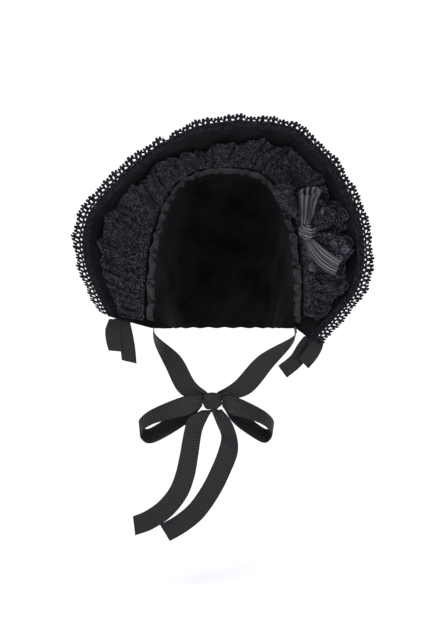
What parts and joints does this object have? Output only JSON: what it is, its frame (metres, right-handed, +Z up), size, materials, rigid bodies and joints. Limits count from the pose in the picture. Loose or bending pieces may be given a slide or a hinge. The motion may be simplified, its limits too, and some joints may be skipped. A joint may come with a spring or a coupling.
{
  "type": "lace bonnet",
  "caption": "Poke bonnet with a flared velvet brim, gathered lace edge and ruffle, a side bow, and ribbon ties knotted in a bow under the chin.",
  "frame": {"origin": "on the crown's inner face, where the top of the wearer's head rests", "axes": "-Y is the way the wearer's face looks, +X is the wearer's left, +Z is up"},
  "size_m": [0.3372, 0.2316, 0.4733],
  "materials": {
    "velvet": "deep pile, matte with a faint sheen",
    "lace": "matte cotton thread",
    "satin": "striped, half gloss",
    "grosgrain": "ribbed across, half matte"
  },
  "bodies": {
    "root": {"crown": "velvet", "brim": "velvet", "edge_lace": "lace", "ruffle_lace": "lace", "ruche": "satin", "bow_knot": "satin", "bow_upper": "satin", "bow_lower": "satin", "bow_lace_upper": "lace", "bow_lace_side": "lace", "bow_lace_lower": "lace", "bow_lace_tail": "lace", "chin_knot": "grosgrain", "chin_loop_left": "grosgrain", "chin_loop_right": "grosgrain", "chin_tail_left": "grosgrain", "chin_tail_right": "grosgrain", "chin_tie_left": "grosgrain", "chin_tie_right": "grosgrain", "side_knot_left": "grosgrain", "side_knot_right": "grosgrain", "side_tail_left_inner": "grosgrain", "side_tail_left_outer": "grosgrain", "side_tail_right_inner": "grosgrain", "side_tail_right_outer": "grosgrain"}
  },
  "joints": []
}
